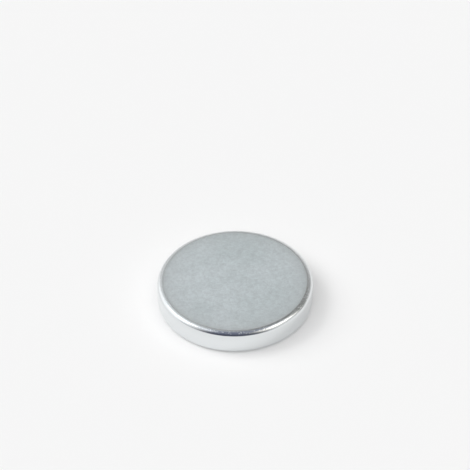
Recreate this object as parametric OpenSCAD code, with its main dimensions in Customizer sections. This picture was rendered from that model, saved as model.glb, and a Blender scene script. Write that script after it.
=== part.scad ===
// Disc magnet: one sintered piece, ground flat on its two pole faces and round on
// its rim, tumbled until both edges are quarter rounds, then plated all over.
// It lies flat: the axis is Z, and the origin is the centre of the lower pole face.

/* [Disc] */
// Diameter of the rim, over the plating
diameter = 30; // [5:0.5:100]
// Thickness from pole face to pole face
thickness = 5; // [3:0.5:40]

/* [Edges] */
// Radius of the tumbled round between each pole face and the rim
edge_radius = 1; // [0.2:0.1:1.4]

/* [Hidden] */

// Facets in a full turn of the rim, and of an edge round
rim_facets = 180;
edge_facets = 64;

rim_radius = diameter / 2;
// Radius at which a pole face stops being flat and the edge round begins
face_radius = rim_radius - edge_radius;
// Height of the straight wall left between the two edge rounds
wall_height = thickness - 2 * edge_radius;

// Half of the section through the axis. The two bars cross: one reaches both pole
// faces, the other reaches the rim, and a circle fills each corner between them.
module half_section() {
    square([face_radius, thickness]);
    translate([0, edge_radius])
        square([rim_radius, wall_height]);
    for (z = [edge_radius, thickness - edge_radius])
        translate([face_radius, z])
            circle(edge_radius, $fn = edge_facets);
}

// The whole magnet, turned from its half section
module magnet() {
    color([0.70, 0.74, 0.75])
        rotate_extrude($fn = rim_facets)
            half_section();
}

magnet();
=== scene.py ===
"""A disc magnet, shown lying on one pole face in soft studio light.

Everything is in metres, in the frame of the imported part: +Z up along the disc's axis,
with the origin at the centre of the lower pole face.
"""
import math

import bpy
from mathutils import Euler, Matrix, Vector


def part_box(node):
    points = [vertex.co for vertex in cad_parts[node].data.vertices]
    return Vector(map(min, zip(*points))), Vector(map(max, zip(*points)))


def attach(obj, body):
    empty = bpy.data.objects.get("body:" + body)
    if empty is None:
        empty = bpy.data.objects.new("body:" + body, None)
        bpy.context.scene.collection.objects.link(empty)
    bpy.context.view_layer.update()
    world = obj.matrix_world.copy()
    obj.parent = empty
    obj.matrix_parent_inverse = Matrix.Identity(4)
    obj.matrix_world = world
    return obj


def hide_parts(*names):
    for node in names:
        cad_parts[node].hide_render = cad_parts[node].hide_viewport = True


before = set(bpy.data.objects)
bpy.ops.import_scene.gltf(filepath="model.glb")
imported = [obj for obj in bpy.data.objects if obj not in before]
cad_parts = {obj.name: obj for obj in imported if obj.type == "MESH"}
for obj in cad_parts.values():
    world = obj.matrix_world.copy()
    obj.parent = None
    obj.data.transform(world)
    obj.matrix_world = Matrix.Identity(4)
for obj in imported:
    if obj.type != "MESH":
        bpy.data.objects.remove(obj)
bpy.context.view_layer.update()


# ---- The magnet ---------------------------------------------------------------------
# One sintered disc, ground flat on both pole faces and round on its rim. Tumbling wears
# its two edges to quarter rounds, and a thin coat of bright zinc is plated over it all.
low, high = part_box("magnet")
rim_radius = high.x
thickness = high.z - low.z
edge_radius = 0.001
edge_run = 0.00115  # tumbling starts the round softly, a little further in
edge_fullness = 0.556  # a little more than an arc, 0.5, so it stays close to the 1 mm round
facets_round = 360
facets_edge = 24

bpy.ops.object.select_all(action="DESELECT")
bpy.ops.mesh.primitive_cylinder_add(
    vertices=facets_round, radius=rim_radius, depth=thickness,
    end_fill_type="TRIFAN", location=(0, 0, thickness / 2),
)
magnet = bpy.context.object
magnet.name = "plated_magnet"
bpy.ops.object.transform_apply(location=True, rotation=True, scale=True)

# The tumbled edges: the two outer rings of edges become quarter rounds.
bpy.ops.object.mode_set(mode="EDIT")
bpy.ops.mesh.select_mode(type="EDGE")
bpy.ops.mesh.select_all(action="DESELECT")
bpy.ops.object.mode_set(mode="OBJECT")
corners = magnet.data.vertices
for edge in magnet.data.edges:
    a, b = (corners[i].co for i in edge.vertices)
    on_rim = min(a.xy.length, b.xy.length) > rim_radius - edge_radius
    level_edge = abs(a.z - b.z) < 1e-6
    edge.select = on_rim and level_edge
bpy.ops.object.mode_set(mode="EDIT")
bpy.ops.mesh.bevel(offset=edge_run, segments=facets_edge, profile=edge_fullness, affect="EDGES")
bpy.ops.mesh.select_all(action="SELECT")
bpy.ops.mesh.normals_make_consistent(inside=False)
bpy.ops.object.mode_set(mode="OBJECT")
bpy.ops.object.shade_smooth()
weighted = magnet.modifiers.new("flat_faces_stay_flat", "WEIGHTED_NORMAL")
weighted.weight = 100
bpy.ops.object.modifier_apply(modifier=weighted.name)


def linear(hex_colour):
    """An sRGB colour such as "D2DADC" as linear red, green, blue and alpha."""
    parts = [int(hex_colour[i:i + 2], 16) / 255 for i in (0, 2, 4)]
    return [p / 12.92 if p <= 0.04045 else ((p + 0.055) / 1.055) ** 2.4 for p in parts] + [1]


def add(tree, kind, settings=None, **inputs):
    """A new node: settings are its own properties, inputs its sockets by name or place."""
    node = tree.nodes.new("ShaderNode" + kind)
    for name, value in (settings or {}).items():
        setattr(node, name, value)
    for name, value in inputs.items():
        socket = node.inputs[int(name[1:]) if name[0] == "_" else name.replace("_", " ")]
        if isinstance(value, bpy.types.NodeSocket):
            tree.links.new(value, socket)
        else:
            socket.default_value = value
    return node


# Bright zinc with a clear blue passivation. The ground pole faces stay satin, because the
# coat follows the grinding; the tumbled edges and the rim come out of the bath glossy.
satin_pale = "F1F6F8"
satin_deep = "D6DFDF"
bright_rim = "E4E7E8"
satin_roughness = (0.58, 0.68)
rim_roughness = 0.11
slow_rise, steep_rise, steep_share = 6.0, 70.0, 0.64
per_mm = 1000  # how many to a millimetre becomes how many to a metre
grains = 1.5 * per_mm
clouds = 0.11 * per_mm
dings = 4.2 * per_mm
ding_band_middle = rim_radius - 0.64 * edge_radius
ding_band_half = 0.31 * edge_radius
relief_height = 0.00004

zinc = bpy.data.materials.new("bright_zinc_plating")
zinc.use_nodes = True
tree = zinc.node_tree
tree.nodes.clear()
place = add(tree, "TexCoord").outputs["Object"]

# Tumbling polishes the face a little more towards its edge, then steeply over its last half
# millimetre, and the round edge and the rim fully.
split = add(tree, "SeparateXYZ", Vector=place)
flat = add(tree, "CombineXYZ", X=split.outputs["X"], Y=split.outputs["Y"])
radius = add(tree, "VectorMath", {"operation": "LENGTH"}, _0=flat.outputs[0]).outputs["Value"]
reach = add(tree, "Math", {"operation": "DIVIDE"}, _0=radius, _1=rim_radius - edge_radius)
rubbed = add(tree, "Math", {"operation": "POWER", "use_clamp": True}, _0=reach.outputs[0],
             _1=slow_rise)
rolled = add(tree, "Math", {"operation": "POWER", "use_clamp": True}, _0=reach.outputs[0],
             _1=steep_rise)
polish = add(tree, "Mix", _0=steep_share, _2=rubbed.outputs[0], _3=rolled.outputs[0]).outputs[0]

# The grinding leaves a satin grain. It is drawn from 0.7 mm down to 0.04 mm across, coarser
# than the real grit, so that it shows. The passivation has faint clouds 9 mm across.
grain = add(tree, "TexNoise", Vector=place, Scale=grains, Detail=4.0, Roughness=0.8).outputs[0]
cloud = add(tree, "TexNoise", Vector=place, Scale=clouds, Detail=2.0, Roughness=0.5).outputs[0]
satin = add(tree, "MapRange", Value=grain, From_Min=0.3, From_Max=0.7,
            To_Min=satin_roughness[0], To_Max=satin_roughness[1])
roughness = add(tree, "Mix", _0=polish, _2=satin.outputs[0], _3=rim_roughness)
tint = add(tree, "Mix", {"data_type": "RGBA"}, _0=cloud, _6=linear(satin_pale),
           _7=linear(satin_deep))
speckle = add(tree, "MapRange", Value=grain, From_Min=0.3, From_Max=0.7, To_Min=0.88, To_Max=1.12)
mottled = add(tree, "VectorMath", {"operation": "SCALE"}, _0=tint.outputs[2],
              Scale=speckle.outputs[0])
colour = add(tree, "Mix", {"data_type": "RGBA"}, _0=polish, _6=mottled.outputs[0],
             _7=linear(bright_rim))

# Tumbling leaves tiny dings, a quarter of a millimetre across, on the shoulder of each round.
spots = add(tree, "TexNoise", Vector=place, Scale=dings, Detail=0.0)
deep_spots = add(tree, "MapRange", Value=spots.outputs[0], From_Min=0.60, From_Max=0.75)
on_round = add(tree, "Math", {"operation": "COMPARE"}, _0=radius,
               _1=ding_band_middle, _2=ding_band_half)
dinged = add(tree, "Math", {"operation": "MULTIPLY"}, _0=deep_spots.outputs[0],
             _1=on_round.outputs[0])
# The polished edge and rim keep only a seventh of the grain's relief.
levelling = add(tree, "Math", {"operation": "MULTIPLY"}, _0=polish, _1=0.85)
levelled = add(tree, "Mix", _0=levelling.outputs[0], _2=grain, _3=0.5)
relief = add(tree, "Math", {"operation": "MULTIPLY_ADD"}, _0=dinged.outputs[0], _1=0.38,
             _2=levelled.outputs[0])
uneven = add(tree, "Bump", Height=relief.outputs[0], Distance=relief_height, Strength=1.0)
metal = add(tree, "BsdfPrincipled", Base_Color=colour.outputs[2], Metallic=1.0,
            Roughness=roughness.outputs[0], Normal=uneven.outputs[0])
add(tree, "OutputMaterial", Surface=metal.outputs[0])
magnet.data.materials.append(zinc)

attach(magnet, "root")
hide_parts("magnet")


# ---- The floor ----------------------------------------------------------------------
# A sheet of plain white matt paper, far wider than the view. The disc lies on it, and
# its soft shadow falls there.
paper_white = "F4F4F4"
backdrop_white = "FBFBFB"
backdrop_share = 0.20

bpy.ops.object.select_all(action="DESELECT")
bpy.ops.mesh.primitive_grid_add(x_subdivisions=2, y_subdivisions=2, size=6)
floor = bpy.context.object
floor.name = "floor"
paper = bpy.data.materials.new("white_matt_paper")
paper.use_nodes = True
tree = paper.node_tree
tree.nodes.clear()
matt = add(tree, "BsdfDiffuse", Color=linear(paper_white))
# Where the camera sees the paper, directly or in the metal, a fifth of it shows as plain white.
ray = add(tree, "LightPath")
seen = add(tree, "Math", {"operation": "MAXIMUM"}, _0=ray.outputs["Is Camera Ray"],
           _1=ray.outputs["Is Glossy Ray"])
share = add(tree, "Math", {"operation": "MULTIPLY"}, _0=seen.outputs[0], _1=backdrop_share)
white = add(tree, "Emission", Color=linear(backdrop_white), Strength=1.0)
mixed = add(tree, "MixShader", _0=share.outputs[0], _1=matt.outputs[0], _2=white.outputs[0])
add(tree, "OutputMaterial", Surface=mixed.outputs[0])
floor.data.materials.append(paper)


# ---- The lights ---------------------------------------------------------------------
# Two wide, even lights fall on the paper: one low on the left, which throws the shadow to
# the right, and one overhead. The metal mirrors the studio of the next section instead.
def soft_light(name, azimuth, elevation, spread, strength):
    """A soft, distant light. Azimuth is 0 behind the disc and -90 on its left, in degrees."""
    a, e = math.radians(azimuth), math.radians(elevation)
    away = Vector((math.sin(a) * math.cos(e), math.cos(a) * math.cos(e), math.sin(e)))
    lamp = bpy.data.lights.new(name, "SUN")
    lamp.angle, lamp.energy = math.radians(spread), strength
    light = bpy.data.objects.new(name, lamp)
    light.rotation_euler = away.to_track_quat("Z", "Y").to_euler()
    light.visible_glossy = False
    bpy.context.scene.collection.objects.link(light)


soft_light("left_light", azimuth=-75, elevation=42, spread=40, strength=1.39)
soft_light("overhead_light", azimuth=-158, elevation=75, spread=90, strength=2.33)


# ---- The studio ---------------------------------------------------------------------
# The room that the bright metal mirrors, painted on the world: pale screens on the left,
# behind and on the right, a dim ceiling, and the dark side where the camera stands.
studio = bpy.data.worlds.new("painted_studio")
studio.use_nodes = True
bpy.context.scene.world = studio
studio.cycles_visibility.diffuse = False  # only the two lights fall on the paper
tree = studio.node_tree
tree.nodes.clear()
way = add(tree, "TexCoord").outputs["Generated"]
axis = add(tree, "SeparateXYZ", Vector=way)
# Azimuth runs from 0 behind the disc to 90 on its right; elevation from the horizon up.
azimuth = add(tree, "Math", {"operation": "ARCTAN2"}, _0=axis.outputs["X"], _1=axis.outputs["Y"])
height = add(tree, "Math", {"operation": "ARCSINE"}, _0=axis.outputs["Z"])


def between(angle, start, end, start_soft, end_soft):
    """1 where the angle lies between start and end, with soft edges, all in degrees."""
    sides = []
    for at, soft, before in ((start, start_soft, 0.0), (end, end_soft, 1.0)):
        side = add(tree, "MapRange", {"interpolation_type": "SMOOTHSTEP"}, Value=angle.outputs[0],
                   From_Min=math.radians(at - soft / 2), From_Max=math.radians(at + soft / 2),
                   To_Min=before, To_Max=1.0 - before)
        sides.append(side.outputs[0])
    return add(tree, "Math", {"operation": "MULTIPLY"}, _0=sides[0], _1=sides[1]).outputs[0]


def screen(under, colour, azimuths, elevations):
    """Paints a soft-edged rectangle: (start, end, softness at start, softness at end)."""
    cover = add(tree, "Math", {"operation": "MULTIPLY"}, _0=between(azimuth, *azimuths),
                _1=between(height, *elevations))
    mix = add(tree, "Mix", {"data_type": "RGBA"}, _0=cover.outputs[0], _6=under, _7=colour)
    return mix.outputs[2]


def patch(under, colour, azimuth, elevation, core, edge):
    """Paints a soft round patch: full within core degrees of its centre, gone at edge."""
    a, e = math.radians(azimuth), math.radians(elevation)
    centre = (math.sin(a) * math.cos(e), math.cos(a) * math.cos(e), math.sin(e))
    near = add(tree, "VectorMath", {"operation": "DOT_PRODUCT"}, _0=way, _1=centre)
    cover = add(tree, "MapRange", {"interpolation_type": "SMOOTHSTEP"}, Value=near.outputs["Value"],
                From_Min=math.cos(math.radians(edge)), From_Max=math.cos(math.radians(core)))
    mix = add(tree, "Mix", {"data_type": "RGBA"}, _0=cover.outputs[0], _6=under, _7=colour)
    return mix.outputs[2]


def level(value, tint="FFFFFF"):
    """A tint at a radiance, where 1 is white."""
    return [value * c for c in linear(tint)[:3]] + [1]


cool_white = "F8FBFF"
blue_shade = "D6DEFF"

# The dim room, its ceiling, and the darker ceiling over the camera.
room = patch(level(0.27, "F5F6F2"), level(0.35, "E6ECFF"), 0, 90, 18, 34)
room = patch(room, level(0.26, "D8E0FF"), -162, 62, 14, 34)
# Behind: a tall screen on the left, a dim gap on the right, and pale screens low down.
room = screen(room, level(0.74, "FAFEFF"), (-60, -6, 20, 40), (0, 68, 10, 14))
room = screen(room, level(0.39), (4, 56, 14, 30), (10, 42, 14, 12))
room = screen(room, level(0.84), (-60, 80, 30, 30), (-30, 18, 5, 26))
room = screen(room, level(0.84), (-12, 26, 16, 16), (-30, 28, 5, 34))
room = patch(room, level(0.68), -25, 20, 6, 20)
# On the left: a wide bright screen, low and high, with the brightest box in its middle.
room = screen(room, level(1.2, "FDFEFF"), (-123, -39, 56, 22), (-5, 44, 12, 18))
room = screen(room, level(1.08, cool_white), (-126, -39, 54, 26), (38, 73, 12, 18))
room = patch(room, level(1.08, cool_white), -100, 66, 5, 14)
room = screen(room, level(2.1, "FEFEFF"), (-104, -61, 20, 14), (35, 63, 10, 12))
# On the right: a narrower screen with a warm bright box, and a duller one under it.
room = screen(room, level(1.1), (50, 88, 44, 14), (54, 72, 14, 14))
room = screen(room, level(1.85, "FFFCF6"), (79, 136, 12, 42), (32, 66, 12, 13))
room = screen(room, level(0.78), (84, 138, 12, 22), (-30, 26, 10, 14))
# The dark side behind the camera, and the dark horizon to its left and right.
room = patch(room, level(0.13, blue_shade), -174, 13, 20, 45)
room = screen(room, level(0.2, blue_shade), (-156, -102, 20, 16), (-9, 7, 5, 6))
room = screen(room, level(0.25, blue_shade), (124, 158, 16, 20), (-9, 7, 5, 6))
# The camera itself sees a plain pale backdrop beyond the paper.
seen = add(tree, "LightPath").outputs["Is Camera Ray"]
backdrop = add(tree, "Mix", {"data_type": "RGBA"}, _0=seen, _6=room, _7=linear("F7F8F8"))
background = add(tree, "Background", Color=backdrop.outputs[2])
add(tree, "OutputWorld", Surface=background.outputs[0])


# ---- The camera ---------------------------------------------------------------------
# A long lens, looking down on the disc from in front; it aims at the floor a little
# behind the disc, so that the disc sits low in the picture.
camera_elevation = 41.72
camera_distance = 0.5168
camera_roll = -0.69
aim = Vector((0.0001, 0.01872, 0))
camera = bpy.data.objects.new("camera", bpy.data.cameras.new("camera"))
camera.data.lens = 198.9
camera.data.sensor_width = 36
camera.data.clip_start = 0.01
elevation = math.radians(camera_elevation)
camera.location = aim + camera_distance * Vector((0, -math.cos(elevation), math.sin(elevation)))
camera.rotation_euler = (
    Euler((math.pi / 2 - elevation, 0, 0)).to_matrix()
    @ Euler((0, 0, math.radians(camera_roll))).to_matrix()
).to_euler()
bpy.context.scene.collection.objects.link(camera)
bpy.context.scene.camera = camera
bpy.context.scene.view_settings.view_transform = "Standard"
